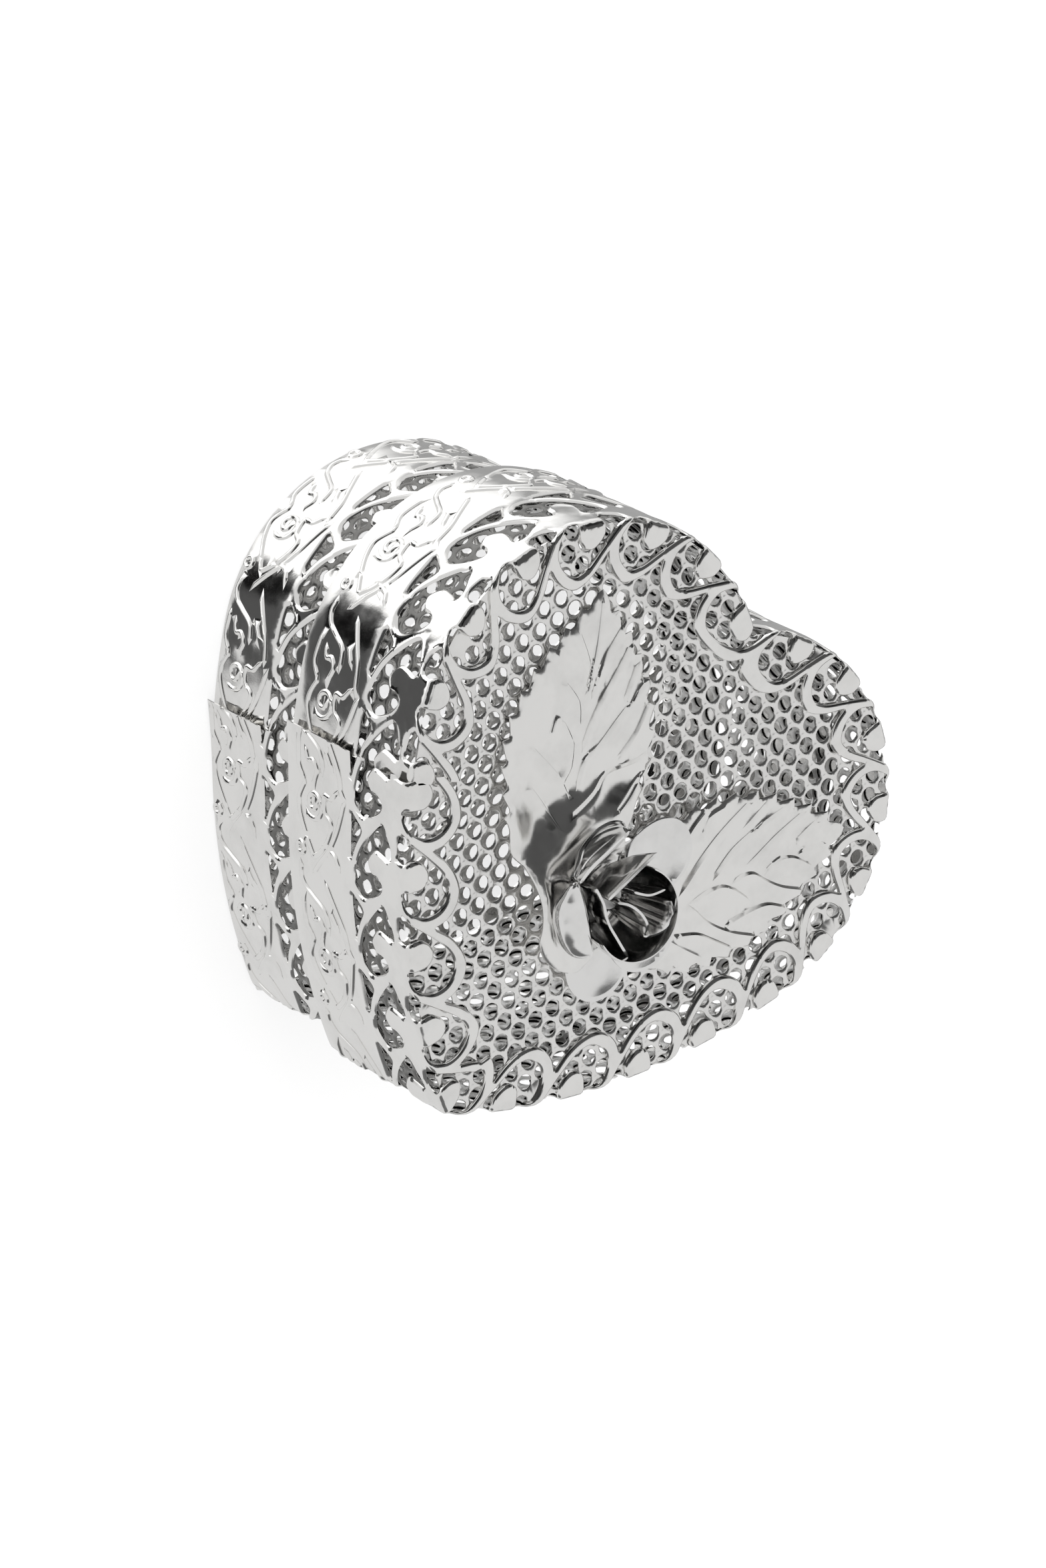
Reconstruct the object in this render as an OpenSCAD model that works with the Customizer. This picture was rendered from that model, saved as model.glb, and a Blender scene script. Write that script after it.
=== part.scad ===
// Heart-shaped trinket box of pressed sheet metal: an open base, a lift-off lid,
// two pressed leaves and a layered rose riveted to the lid.
// Millimetres, +Z up. The base stands on z = 0, the point of the heart faces -Y.

/* [Heart outline] */
// Width of the lid across both lobes
box_w = 68; // [64:1:72]
// Distance of each lobe's centre from the middle plane
lobe_x = 11.9; // [11:0.1:12.8]
// Distance from the lobe centres down to the point of the heart
tip_drop = 41.3; // [40:0.1:43]
// Radius of the long sides
side_r = 74; // [70:1:80]

/* [Heights] */
// Height of the closed box up to the lid's face
lid_top = 37.6; // [35:0.1:40]
// Height of the lower edge of the lid's rim
lid_edge = 16.4; // [14:0.1:18]
// Height of the base wall and of the lace band around it
base_band_h = 27; // [24:0.5:30]

/* [Sheet metal] */
// Thickness of the pressed and perforated sheets
sheet = 0.5; // [0.4:0.05:0.5]
// Clearance between the lid's rim and the base all round
lid_gap = 0.4; // [0.35:0.05:0.6]
// Width of the lace border folded onto the lid's face
border_w = 7.2; // [6:0.1:7.4]

/* [Leaves] */
// Length of the left leaf
leaf_left_l = 40; // [38:0.5:40]
// Width of the left leaf
leaf_left_w = 19; // [16:0.5:20]
// Direction of the left leaf's tip, from +X
leaf_left_dir = 122.6; // [120:0.2:124]
// Length of the right leaf
leaf_right_l = 33.4; // [30:0.2:33.4]
// Width of the right leaf
leaf_right_w = 19; // [16:0.5:19]
// Direction of the right leaf's tip, from +X
leaf_right_dir = 46.3; // [44:0.1:48]
// Thickness of the leaves and petals
foil = 0.4; // [0.3:0.05:0.4]
// Teeth along each side of a leaf
leaf_teeth = 14; // [10:1:16]

/* [Rose] */
// Distance of the rose's axis to the right of the middle plane
rose_x = 0.8; // [-1:0.1:2]
// Distance of the rose's axis from the box's centre along Y
rose_y = -3.5; // [-5:0.1:-2]
// Radius of one outer petal
petal_r = 4.3; // [3.8:0.1:4.6]
// Height of the petal cup above the leaves
cup_h = 7.2; // [6:0.1:8]
// Radius of the petal cup at its mouth
cup_r = 5.1; // [4.6:0.1:5.4]

/* [Hidden] */
$fn = 96;
lobe_r = box_w / 2 - lobe_x;
// The lobe circles' height in the box's frame, which is centred on the whole outline
lobe_y = (tip_drop - lobe_r) / 2;
far = 2 * box_w;

// Each long side is an arc through the point, touching its lobe from inside
to_tip = [-lobe_x, -tip_drop];
tip_dist = norm(to_tip);
lean = to_tip / tip_dist;
reach = side_r - lobe_r;
along = (reach * reach - side_r * side_r + tip_dist * tip_dist) / (2 * tip_dist);
across = sqrt(reach * reach - along * along);
side_c = [lobe_x, 0] + along * lean + across * [lean[1], -lean[0]];
touch_dir = ([lobe_x, 0] - side_c) / reach;
touch_y = -lobe_x * touch_dir[1] / touch_dir[0];

// Distances inward from the outline to the face of each layer
lid_liner_in = sheet;
base_band_in = 2 * sheet + lid_gap;
base_liner_in = base_band_in + sheet;
base_plate_in = base_liner_in + sheet;

// Heights on the lid
lid_plate_top = lid_top - sheet;
lid_plate_z = lid_plate_top - sheet;
liner_lift = 0.6;
leaf_left_z = lid_plate_top;
leaf_right_z = leaf_left_z + foil;
outer_z = leaf_right_z + foil;
middle_z = outer_z + foil;
inner_z = middle_z + foil;
head_z = inner_z + foil;

// Leaves: where each one's foot lies from the rose's axis, and how its outline runs
leaf_left_foot = [rose_x, rose_y] + [-0.1, -9.7];
leaf_right_foot = [rose_x, rose_y] + [0.6, -3.7];
leaf_left_fullness = 1.26;
leaf_right_fullness = 1;
tooth_step = 0.2;
tooth_out = 0.4;
smooth_foot = 5;
tab_r = 3.2;

// Rose: floors of the cups, the step between them, and the rolled bud
cup_floor_r = 2.8;
inner_floor_r = 2.1;
inner_step = 1.3;
inner_drop = 1;
bud_r = 1.9;
bud_h = 5;
bud_turns = 1.15;
petal_out = 7.4;
hinge_out = 4.6;
petal_root = 0.5;
petal_bend = 52;
flat_petal_dirs = [62, 352, 304];
raised_petal_dirs = [222, 153];

// Fasteners
shank_r = 0.8;
hole_r = shank_r + 0.1;
head_r = 1.3;
head_h = 0.6;
washer_r = 3;
washer_h = 0.4;

// Right half of the heart, moved inward by an even distance
module half_heart(inset) {
    intersection() {
        translate([0, -far / 2])
            square(far);
        union() {
            translate([lobe_x, 0])
                circle(r = lobe_r - inset);
            intersection() {
                translate(side_c)
                    circle(r = side_r - inset, $fn = 4 * $fn);
                polygon([[0, touch_y], [lobe_x, 0] + far / 2 * touch_dir, [far / 2, -far], [0, -far]]);
            }
        }
    }
}

module heart(inset) {
    translate([0, lobe_y]) {
        half_heart(inset);
        mirror([1, 0])
            half_heart(inset);
    }
}

// Heart-shaped ring between two distances in from the outline
module heart_ring(outer, inner) {
    difference() {
        heart(outer);
        heart(inner);
    }
}

module heart_wall(outer, bottom, top) {
    translate([0, 0, bottom])
        linear_extrude(top - bottom)
            heart_ring(outer, outer + sheet);
}

module at_rose(z) {
    translate([rose_x, rose_y, z])
        children();
}

module rivet_hole(z, h) {
    at_rose(z - 1)
        cylinder(r = hole_r, h = h + 2, $fn = 32);
}

// Half the width of a leaf at a share t of its length; fullness moves the widest place to the tip
function leaf_half(t, width, fullness) = width / 2 * sin(180 * pow(t, fullness));

// Right edge of a leaf from its foot to its tip, with saw teeth beyond the smooth foot
function leaf_side(length, width, fullness) = [
    for (i = [1 : leaf_teeth])
        for (k = [1, 0])
            let (t = (i - k * tooth_step) / (leaf_teeth + 1))
                [length * t, leaf_half(t, width, fullness) + (i > smooth_foot ? k * tooth_out : 0)]
];

function flipped(points) = [
    for (i = [len(points) - 1 : -1 : 0])
        [points[i][0], -points[i][1]]
];

// Flat leaf with its foot at a place beside the rivet, and a tab that the rivet goes through
module leaf(foot, length, width, fullness, direction, z) {
    side = leaf_side(length, width, fullness);
    difference() {
        union() {
            translate([foot[0], foot[1], z])
                rotate(direction)
                    linear_extrude(foil)
                        polygon(concat([[0, 0]], side, [[length, 0]], flipped(side)));
            at_rose(z)
                cylinder(r = tab_r, h = foil);
        }
        rivet_hole(z, foil);
    }
}

// Upright petals: a round cup with a flat floor, one foil thick
module petal_cup(z, floor_r, mouth_r, height) {
    steps = 8;
    outside = [for (i = [0 : steps])
        [floor_r + (mouth_r - floor_r) * sin(90 * i / steps), height * (1 - cos(90 * i / steps))]];
    inside = [for (i = [steps : -1 : 0])
        [outside[i][0] - foil, max(foil, outside[i][1])]];
    difference() {
        at_rose(z)
            rotate_extrude()
                polygon(concat([[0, 0]], outside, inside, [[0, foil]]));
        rivet_hole(z, foil);
    }
}

// Strip of foil rolled into a spiral, seen from above
module rolled_strip(first_r, last_r, turns) {
    steps = 36;
    walk = [for (i = [0 : steps]) i / steps];
    function coil(r, t) = (r + (last_r - first_r) * t) * [cos(360 * turns * t), sin(360 * turns * t)];
    polygon(concat(
        [for (t = walk) coil(first_r + foil, t)],
        [for (i = [steps : -1 : 0]) coil(first_r, walk[i])]
    ));
}

// ---- Base ----

module base_plate() {
    color("silver")
        linear_extrude(sheet)
            heart(base_plate_in);
}

module base_liner() {
    color("gainsboro")
        heart_wall(base_liner_in, 0, base_band_h);
}

module base_lace_band() {
    color("lightgray")
        heart_wall(base_band_in, 0, base_band_h);
}

// ---- Lid ----

module lid_plate() {
    color("silver")
        difference() {
            translate([0, 0, lid_plate_z])
                linear_extrude(sheet)
                    heart(sheet);
            rivet_hole(lid_plate_z, sheet);
        }
}

module lid_liner() {
    color("gainsboro")
        heart_wall(lid_liner_in, lid_edge + liner_lift, lid_plate_z);
}

module lid_lace_band() {
    color("lightgray") {
        heart_wall(0, lid_edge, lid_plate_top);
        translate([0, 0, lid_plate_top])
            linear_extrude(sheet)
                heart_ring(0, border_w);
    }
}

// ---- Leaves ----

module leaf_left() {
    color("whitesmoke")
        leaf(leaf_left_foot, leaf_left_l, leaf_left_w, leaf_left_fullness, leaf_left_dir, leaf_left_z);
}

module leaf_right() {
    color("whitesmoke")
        leaf(leaf_right_foot, leaf_right_l, leaf_right_w, leaf_right_fullness, leaf_right_dir,
             leaf_right_z);
}

// ---- Rose ----

module rose_outer_petals() {
    color("whitesmoke")
        difference() {
            at_rose(outer_z) {
                cylinder(r = hinge_out + petal_root, h = foil);
                for (a = flat_petal_dirs)
                    rotate(a)
                        translate([petal_out, 0, 0])
                            cylinder(r = petal_r, h = foil);
                for (a = raised_petal_dirs)
                    rotate(a)
                        translate([hinge_out, 0, 0])
                            rotate([0, -petal_bend, 0])
                                translate([petal_r - petal_root, 0, 0])
                                    cylinder(r = petal_r, h = foil);
            }
            rivet_hole(outer_z, foil);
            at_rose(outer_z - petal_r - foil)
                cylinder(r = 3 * petal_r, h = petal_r + foil);
        }
}

module rose_middle_petals() {
    color("lightgray")
        petal_cup(middle_z, cup_floor_r, cup_r, cup_h);
}

module rose_inner_petals() {
    color("silver")
        petal_cup(inner_z, inner_floor_r, cup_r - inner_step, cup_h - inner_drop);
}

module rose_bud() {
    color("silver")
        at_rose(head_z)
            linear_extrude(bud_h)
                rolled_strip(head_r + 0.1, bud_r, bud_turns);
}

// ---- Fasteners ----

module rose_rivet() {
    foot_z = lid_plate_z - washer_h - head_h;
    color("darkgray") {
        at_rose(foot_z)
            cylinder(r = head_r, h = head_h, $fn = 48);
        at_rose(foot_z)
            cylinder(r = shank_r, h = head_z + head_h - foot_z, $fn = 32);
        at_rose(head_z)
            cylinder(r = head_r, h = head_h, $fn = 48);
    }
}

module rivet_washer() {
    color("gray")
        at_rose(lid_plate_z - washer_h)
            difference() {
                cylinder(r = washer_r, h = washer_h);
                translate([0, 0, -1])
                    cylinder(r = hole_r, h = washer_h + 2, $fn = 32);
            }
}

base_plate();
base_liner();
base_lace_band();
lid_plate();
lid_liner();
lid_lace_band();
leaf_left();
leaf_right();
rose_outer_petals();
rose_middle_petals();
rose_inner_petals();
rose_bud();
rose_rivet();
rivet_washer();
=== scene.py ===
"""Looks of the heart-shaped trinket box: lace, punched sheets, leaves and rose on the CAD frame."""
import math

import bpy
import numpy as np
from mathutils import Matrix, Vector
from mathutils.geometry import delaunay_2d_cdt


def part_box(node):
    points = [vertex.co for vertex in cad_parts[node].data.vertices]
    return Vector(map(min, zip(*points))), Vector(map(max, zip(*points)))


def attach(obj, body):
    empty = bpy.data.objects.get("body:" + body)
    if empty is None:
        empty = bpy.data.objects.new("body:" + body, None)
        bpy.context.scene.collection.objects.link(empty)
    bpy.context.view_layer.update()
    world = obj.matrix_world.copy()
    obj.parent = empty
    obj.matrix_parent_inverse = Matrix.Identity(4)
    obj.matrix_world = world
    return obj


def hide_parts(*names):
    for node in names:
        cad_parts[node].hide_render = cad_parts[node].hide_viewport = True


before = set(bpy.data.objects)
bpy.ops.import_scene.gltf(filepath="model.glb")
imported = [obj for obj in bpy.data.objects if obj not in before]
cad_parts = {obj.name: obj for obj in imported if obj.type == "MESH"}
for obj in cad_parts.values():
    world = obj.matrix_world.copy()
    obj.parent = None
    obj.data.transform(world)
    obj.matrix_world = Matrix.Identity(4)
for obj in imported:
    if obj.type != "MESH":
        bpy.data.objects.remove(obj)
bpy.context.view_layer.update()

# ---- sizes, in millimetres
MM = 0.001


def cad_box(node):
    """Lowest and highest corner of a CAD node, in millimetres."""
    low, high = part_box(node)
    return np.array(low) / MM, np.array(high) / MM


band_low, band_high = cad_box("lid_lace_band")
base_band_low, base_band_high = cad_box("base_lace_band")
base_liner_low, base_liner_high = cad_box("base_liner")
lid_plate_low, lid_plate_high = cad_box("lid_plate")
lid_liner_low, lid_liner_high = cad_box("lid_liner")
base_plate_low, base_plate_high = cad_box("base_plate")
rivet_low, rivet_high = cad_box("rose_rivet")
petals_low, _ = cad_box("rose_outer_petals")
_, cup_high = cad_box("rose_middle_petals")

BOX_W = band_high[0] - band_low[0]
BOX_D = band_high[1] - band_low[1]
LID_TOP = band_high[2]
LID_EDGE = band_low[2]
SHEET = 0.5  # thickness of the lace bands
FOIL = 0.35  # thickness of leaves and petals
ROSE = (rivet_low[:2] + rivet_high[:2]) / 2

# The heart: two lobe circles and two long side arcs that touch them
LOBE_X = 11.9
SIDE_R = 74.0
LOBE_R = BOX_W / 2 - LOBE_X
LOBE_Y = (BOX_D - 2 * LOBE_R) / 2
TIP = np.array([0.0, band_low[1]])


def inset_of(low, high):
    """How far a heart-shaped node lies inside the lid's outline."""
    return (BOX_W - (high[0] - low[0])) / 2


LID_LINER_IN = inset_of(lid_liner_low, lid_liner_high)
BASE_BAND_IN = inset_of(base_band_low, base_band_high)
BASE_LINER_IN = inset_of(base_liner_low, base_liner_high)
BASE_PLATE_IN = inset_of(base_plate_low, base_plate_high)
LID_PLATE_IN = inset_of(lid_plate_low, lid_plate_high)


# ---- the heart's outline
def half_outline(inset, count=900):
    """Left half of the outline from the point to the cleft, moved inward, as dense points."""
    lobe = np.array([LOBE_X, LOBE_Y])
    to_tip = TIP - lobe
    dist = np.hypot(*to_tip)
    lean = to_tip / dist
    reach = SIDE_R - LOBE_R
    along = (reach ** 2 - SIDE_R ** 2 + dist ** 2) / (2 * dist)
    across = math.sqrt(reach ** 2 - along ** 2)
    centre = lobe + along * lean + across * np.array([lean[1], -lean[0]])
    touch = math.atan2(*(lobe - centre)[::-1])
    side_r = SIDE_R - inset
    tip_angle = -math.acos(-centre[0] / side_r)
    cleft_angle = math.acos(-LOBE_X / (LOBE_R - inset))
    side = np.linspace(tip_angle, touch, count)
    round_lobe = np.linspace(touch, cleft_angle, count)[1:]
    right = np.vstack([
        centre + side_r * np.c_[np.cos(side), np.sin(side)],
        lobe + (LOBE_R - inset) * np.c_[np.cos(round_lobe), np.sin(round_lobe)],
    ])
    return right * [-1, 1]


def smoothed(values, sigma, step):
    """Values round a closed path, blurred over a distance of sigma."""
    n = len(values)
    k = np.fft.fftfreq(n, d=step)
    window = np.exp(-2 * (math.pi * k * sigma) ** 2)
    return np.real(np.fft.ifft(np.fft.fft(values, axis=0) * window[:, None], axis=0))


class HeartPath:
    """Closed path round the heart, clockwise from its point, with outward normals."""

    def __init__(self, inset, corner=0.45, step=0.1):
        left = half_outline(inset)
        loop = np.vstack([left, (left * [-1, 1])[::-1][1:]])
        run = np.r_[0, np.cumsum(np.hypot(*np.diff(loop, axis=0).T))]
        self.length = run[-1]
        n = int(self.length / step)
        at = np.arange(n) * self.length / n
        points = np.c_[np.interp(at, run, loop[:, 0]), np.interp(at, run, loop[:, 1])]
        self.points = smoothed(points, corner, self.length / n)
        ahead = np.roll(self.points, -1, axis=0) - np.roll(self.points, 1, axis=0)
        ahead /= np.hypot(*ahead.T)[:, None]
        self.normals = np.c_[-ahead[:, 1], ahead[:, 0]]
        self.n = n

    def look_up(self, table, s):
        """Entry of a table at a distance s along the path, between its samples."""
        x = np.mod(np.asarray(s) / self.length, 1.0) * self.n
        i = np.floor(x).astype(int) % self.n
        f = (x - np.floor(x))[..., None]
        return table[i] * (1 - f) + table[(i + 1) % self.n] * f

    def at(self, s):
        return self.look_up(self.points, s)

    def normal(self, s):
        return self.look_up(self.normals, s)


OUTER = HeartPath(0)
PERIMETER = OUTER.length
TIP_REACH = 14  # how far from the point directions turn most gradually
TIP_FADE = 12  # run beyond that over which this ends
SOFT_TURN = 2.6  # run over which directions are blurred
TIP_TURN = 5.5  # and near the point


def face_directions():
    """Inward directions on the lid's face: turned gradually past the cleft and the point."""
    step = OUTER.length / OUTER.n
    s = np.arange(OUTER.n) * step
    from_tip = np.minimum(s, OUTER.length - s)
    near_tip = np.clip(1 - (from_tip - TIP_REACH) / TIP_FADE, 0, 1)[:, None]
    soft = smoothed(OUTER.normals, SOFT_TURN, step)
    softer = smoothed(OUTER.normals, TIP_TURN, step)
    turned = softer * near_tip + soft * (1 - near_tip)
    return -turned / np.hypot(*turned.T)[:, None]


FACE_IN = face_directions()


# ---- flat mesh tools
def smooth_curve(points, closed=False, step=0.3):
    """Catmull-Rom curve through a few points, sampled about every step."""
    p = np.array(points, float)
    n = len(p)
    spans = n if closed else n - 1
    out = []
    for i in range(spans):
        if closed:
            a, b, c, d = (p[(i + k) % n] for k in (-1, 0, 1, 2))
        else:
            a, b, c, d = p[max(i - 1, 0)], p[i], p[i + 1], p[min(i + 2, n - 1)]
        m = max(2, int(math.ceil(np.hypot(*(c - b)) / step)))
        for t in np.arange(m) / m:
            out.append(0.5 * (2 * b + (c - a) * t + (2 * a - 5 * b + 4 * c - d) * t * t
                              + (3 * b - a - 3 * c + d) * t ** 3))
    if not closed:
        out.append(p[-1])
    return np.array(out)


def spiral(centre, first_r, last_r, first_deg, last_deg, step=0.3):
    """Spiral between two radii and two angles."""
    turn = math.radians(last_deg - first_deg)
    n = max(6, int(abs(turn) * (first_r + last_r) / 2 / step))
    t = np.linspace(0, 1, n + 1)
    angle = math.radians(first_deg) + turn * t
    r = first_r + (last_r - first_r) * t
    return np.array(centre) + r[:, None] * np.c_[np.cos(angle), np.sin(angle)]


def shifted(curve, distance, closed):
    """Curve moved sideways, to the left of its direction for a positive distance."""
    if closed:
        ahead = np.roll(curve, -1, axis=0) - np.roll(curve, 1, axis=0)
    else:
        ahead = np.gradient(curve, axis=0)
    ahead = ahead / np.maximum(np.hypot(*ahead.T), 1e-9)[:, None]
    return curve + distance * np.c_[-ahead[:, 1], ahead[:, 0]]


BATCH = 4000  # points compared with a whole outline at a time


def edge_distance(points, curves):
    """Distance from each point to the nearest of some curves, given as (points, closed)."""
    best = np.full(len(points), 1e9)
    for curve, closed in curves:
        a = curve
        b = np.roll(curve, -1, axis=0)
        if not closed:
            a, b = a[:-1], b[:-1]
        d = b - a
        long = np.maximum((d ** 2).sum(1), 1e-12)
        for first in range(0, len(points), BATCH):
            p = points[first:first + BATCH, None, :]
            t = np.clip(((p - a) * d).sum(2) / long, 0, 1)
            gap = np.sqrt((((a + t[..., None] * d) - p) ** 2).sum(2)).min(1)
            best[first:first + BATCH] = np.minimum(best[first:first + BATCH], gap)
    return best


def inside(points, loop):
    """Which points lie inside a closed loop."""
    x, y = points[:, 0], points[:, 1]
    hit = np.zeros(len(points), bool)
    x0, y0 = loop[-1]
    for x1, y1 in loop:
        if y1 != y0:
            crosses = ((y1 > y) != (y0 > y)) & (x < (x0 - x1) * (y - y1) / (y0 - y1) + x1)
            hit ^= crosses
        x0, y0 = x1, y1
    return hit


def triangulate(curves, extra, keep):
    """Flat triangles over the curves and extra points; keep(centres) says which ones stay."""
    verts, edges = [], []
    for curve, closed in curves:
        first = len(verts)
        verts += [Vector(p) for p in curve]
        edges += [(first + i, first + i + 1) for i in range(len(curve) - 1)]
        if closed:
            edges.append((first + len(curve) - 1, first))
    verts += [Vector(p) for p in extra]
    flat, _, faces, _, _, _ = delaunay_2d_cdt(verts, edges, [], 0, 1e-5)
    points = np.array([tuple(p) for p in flat])
    tris = np.array([tuple(f) for f in faces])
    tris = tris[keep(points[tris].mean(1))]
    return packed(points, tris)


def packed(points, faces):
    """Points and faces without the points that no face uses."""
    used = np.unique(faces)
    renumber = np.zeros(len(points), int)
    renumber[used] = np.arange(len(used))
    return points[used], renumber[faces]


def border_edges(faces):
    """Directed edges used by one face only."""
    a = faces.reshape(-1)
    b = np.roll(faces, -1, axis=1).reshape(-1)
    n = int(faces.max()) + 1
    there = a.astype(np.int64) * n + b
    back = b.astype(np.int64) * n + a
    lone = ~np.isin(there, back)
    return np.c_[a[lone], b[lone]]


def sheet_faces(faces, count):
    """Faces of a sheet with thickness: the top, the turned-over bottom and the rim between them."""
    rim = border_edges(faces)
    walls = np.c_[rim[:, 1], rim[:, 0], rim[:, 0] + count, rim[:, 1] + count]
    top = faces.tolist()
    bottom = (faces[:, ::-1] + count).tolist()
    return top + bottom + walls.tolist()


def turned_up(points, faces):
    """Faces wound so that a flat mesh looks up."""
    a, b, c = points[faces[:, 0]], points[faces[:, 1]], points[faces[:, 2]]
    area = (b[:, 0] - a[:, 0]) * (c[:, 1] - a[:, 1]) - (b[:, 1] - a[:, 1]) * (c[:, 0] - a[:, 0])
    return np.where((area < 0)[:, None], faces[:, ::-1], faces)


def add_piece(name, points, faces, material, sharp_deg=35):
    """New mesh object from points in millimetres."""
    mesh = bpy.data.meshes.new(name)
    mesh.from_pydata((np.asarray(points) * MM).tolist(), [], faces)
    mesh.validate()
    mesh.shade_smooth()
    mesh.set_sharp_from_angle(angle=math.radians(sharp_deg))
    mesh.materials.append(material)
    piece = bpy.data.objects.new(name, mesh)
    bpy.context.collection.objects.link(piece)
    return piece


def finish_piece(piece, body, slot, *nodes):
    """Puts a piece on its body, in the place of CAD nodes, which it hides. The slot is not used."""
    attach(piece, body)
    if nodes:
        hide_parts(*nodes)


# ---- materials
def new_node(nodes, kind, **values):
    """New shader node with some of its inputs set."""
    node = nodes.new("ShaderNode" + kind)
    for name, value in values.items():
        node.inputs[name.replace("_", " ")].default_value = value
    return node


TARNISH = 0.12  # how much darker the tarnished patches are
TARNISH_MM = 5.0
GLOSS_MM = 1.6  # size of the glossier and duller patches
GRAIN_MM = 0.22


def metal(name, tone, roughness, wave_mm, wave_depth_mm, grain_depth_mm=0.002):
    """Polished silver-coloured metal: slight pressing waves, fine grain, uneven gloss and faint tarnish."""
    material = bpy.data.materials.new(name)
    material.use_nodes = True
    nodes, links = material.node_tree.nodes, material.node_tree.links
    shader = nodes["Principled BSDF"]
    shader.inputs["Metallic"].default_value = 1.0
    place = nodes.new("ShaderNodeTexCoord").outputs["Object"]

    def noise(size_mm, detail, rough):
        node = new_node(nodes, "TexNoise", Scale=1 / (size_mm * MM), Detail=detail, Roughness=rough)
        links.new(place, node.inputs["Vector"])
        return node.outputs["Fac"]

    def ramp(source, low, high, at_low, at_high):
        node = new_node(nodes, "MapRange", From_Min=at_low, From_Max=at_high, To_Min=low, To_Max=high)
        links.new(source, node.inputs["Value"])
        return node.outputs["Result"]

    def bump(height, distance_mm):
        node = new_node(nodes, "Bump", Strength=1.0, Distance=distance_mm * MM)
        links.new(height, node.inputs["Height"])
        return node

    colour = nodes.new("ShaderNodeMix")
    colour.data_type = "RGBA"
    colour.inputs[6].default_value = (*tone, 1)
    colour.inputs[7].default_value = (*(c * (1 - TARNISH) for c in tone), 1)
    links.new(ramp(noise(TARNISH_MM, 5, 0.62), 0, 1, 0.45, 0.8), colour.inputs[0])
    links.new(colour.outputs[2], shader.inputs["Base Color"])
    links.new(ramp(noise(GLOSS_MM, 6, 0.6), roughness * 0.7, roughness * 1.5, 0.3, 0.7),
              shader.inputs["Roughness"])

    waves = bump(noise(wave_mm, 1.5, 0.45), wave_depth_mm)
    grain = bump(noise(GRAIN_MM, 3, 0.6), grain_depth_mm)
    links.new(waves.outputs["Normal"], grain.inputs["Normal"])
    links.new(grain.outputs["Normal"], shader.inputs["Normal"])
    return material


SILVER = (0.865, 0.858, 0.842)
lace_metal = metal("lace_chrome", SILVER, 0.10, 4.5, 0.10)
punched_metal = metal("punched_sheet", (0.85, 0.843, 0.828), 0.17, 5.0, 0.05)
# The walls' punched sheet is one metal in two copies: a brighter one inside, painted light, and a nearly
# black one outside, painted shade as behind the lace band.
inner_painted_light_metal = metal("inner_sheet_painted_light", (0.92, 0.918, 0.91), 0.3, 5.0, 0.05)
liner_painted_shade_metal = metal("liner_sheet_painted_shade", (0.17, 0.168, 0.162), 0.25, 5.0, 0.05)
leaf_metal = metal("leaf_foil_metal", SILVER, 0.16, 5.5, 0.09)
rose_metal = metal("rose_foil_metal", (0.84, 0.835, 0.825), 0.12, 3.0, 0.06)
fastener_metal = metal("fastener_metal", (0.72, 0.72, 0.71), 0.28, 2.0, 0.02, grain_depth_mm=0.006)

# ---- lace bands: the pressed pattern
# Places are (along the band from a tab's middle, across it from the spine). The spine is the line between
# the wall's openings, at positive places, and those of the lid's face, which are written turned over.
PITCH = 8.857  # from one tab to the next
WALL_OPENING = [(-4.4, 5.2), (-3.9, 6.3), (-2.4, 6.95), (.4, 6.0), (2.6, 4.4), (4.6, 2.1), (3.2, 1.05),
                (2.1, .5), (1.1, .65), (1.4, 1.86), (1.5, 3.3), (.14, 4.55), (-1.25, 3.9), (-1.5, 2.7),
                (-2.2, 2.1), (-3.5, 3.3)]
TRIANGLE = [(-.3, 7.6), (2.0, 7.62), (4.1, 7.6), (4.2, 7.3), (3.5, 6.3), (3.1, 5.8), (2.6, 5.8),
            (1.0, 6.75), (-.4, 7.35)]
FACE_OPENING = [(-4.8, 5.0), (-4.4, 6.9), (-2.6, 8.0), (-.5, 7.4), (1.6, 5.6), (3.4, 3.6), (4.7, 1.8),
                (4.4, .9), (3.2, .5), (1.9, .45), (1.5, 1.6), (1.75, 4.2), (.14, 5.6), (-1.45, 4.8),
                (-1.6, 1.9), (-2.5, 1.5), (-3.7, 3.0)]
SCALLOP = [(-6.35, 6.05), (-5.9, 7.5), (-4.7, 8.75), (-3.0, 9.35), (-.9, 8.9), (1.0, 7.7), (2.5, 6.05)]
# Raised lines of one scroll, which spans two tabs
SCROLLS = [
    [(-4.2, 14.0), (-2.8, 12.8), (-1.25, 11.4), (.8, 10.1), (2.8, 9.3), (4.7, 8.7)],
    [(-1.1, 11.2), (-1.5, 10.2), (-2.3, 9.7)],
    [(-2.6, 13.9), (-1.4, 12.5), (.3, 11.3), (1.9, 10.9), (2.8, 12.0), (4.6, 12.2), (4.6, 11.0), (5.5, 10.1)],
    [(-2.6, 14.1), (-.6, 15.35), (1.4, 16.4), (3.1, 16.7), (5.0, 15.7)],
    [(6.1, 9.2), (8.2, 9.6), (10.2, 10.7), (12.3, 12.0)],
    [(7.6, 12.4), (9.2, 12.8), (10.3, 14.6), (11.1, 15.9), (12.3, 16.6), (13.4, 16.5)],
    [(5.9, 13.8), (7.0, 13.4), (7.9, 14.1), (7.7, 14.9), (8.6, 15.3)],
    [(5.6, 15.9), (7.0, 16.7), (9.4, 16.6)],
    [(8.3, 10.9), (9.4, 11.6)],
]
SWIRL = dict(centre=(3.2, 14.0), first_r=1.75, last_r=0.35, first_deg=150, last_deg=620)
RING = dict(centre=(-2.3, 16.4), first_r=0.62, last_r=0.62, first_deg=0, last_deg=350)
OUTLINE_STEP = 0.36  # between points along an opening
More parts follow.
